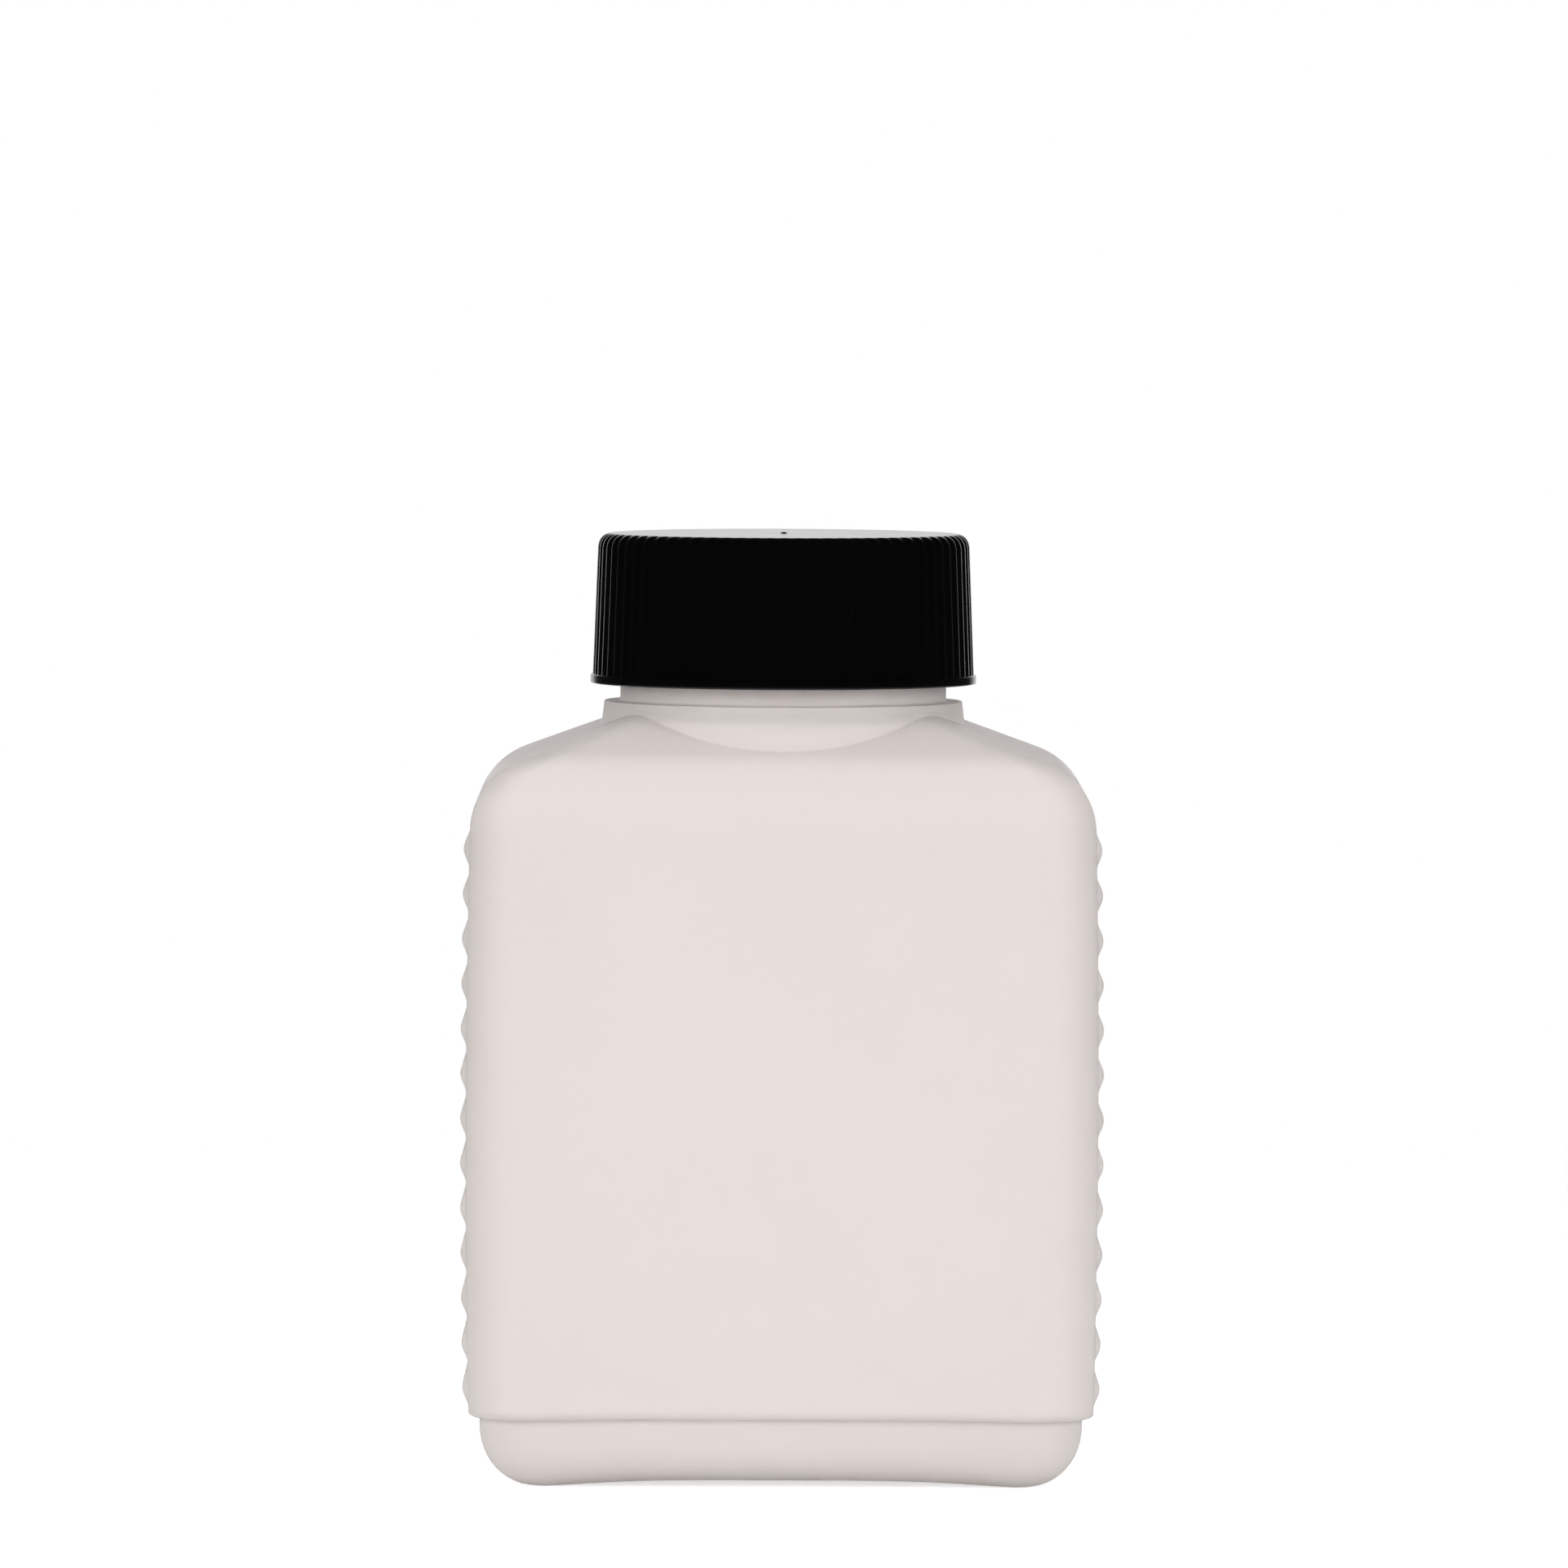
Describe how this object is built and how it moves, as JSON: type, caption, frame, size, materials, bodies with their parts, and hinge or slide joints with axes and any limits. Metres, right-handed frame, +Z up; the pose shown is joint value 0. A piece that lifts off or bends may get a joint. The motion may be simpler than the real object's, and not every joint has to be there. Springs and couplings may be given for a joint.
{
  "type": "rectangular wide-neck media bottle",
  "caption": "Rectangular wide-neck plastic bottle with ribbed narrow sides, set-back base, collared neck and a knurled screw cap.",
  "frame": {"origin": "middle of the footprint, on the plane that the bottle stands on", "axes": "+Z up along the neck's axis, -Y out of the wide front wall, +X towards a ribbed narrow side"},
  "size_m": [0.0892, 0.062, 0.1319],
  "materials": {
    "milky_plastic": "satin, see-through",
    "black_plastic": "satin",
    "white_foam": "matt foam"
  },
  "bodies": {
    "bottle": {"bottle": "milky_plastic"},
    "cap_lift": {"cap_liner": "white_foam"},
    "cap": {"screw_cap": "black_plastic"}
  },
  "joints": [
    {"name": "cap_rise", "type": "slide", "parent": "bottle", "child": "cap_lift", "axis": [0, 0, 1], "range_m": [0, 0.008]},
    {"name": "cap_turn", "type": "hinge", "parent": "cap_lift", "child": "cap", "pos_m": [0, 0, 0.12], "axis": [0, 0, 1], "range_deg": [0, 720]}
  ],
  "couplings": [
    {"joint": "cap_rise", "follows": "cap_turn", "m_per_rad": 0.00063662}
  ]
}
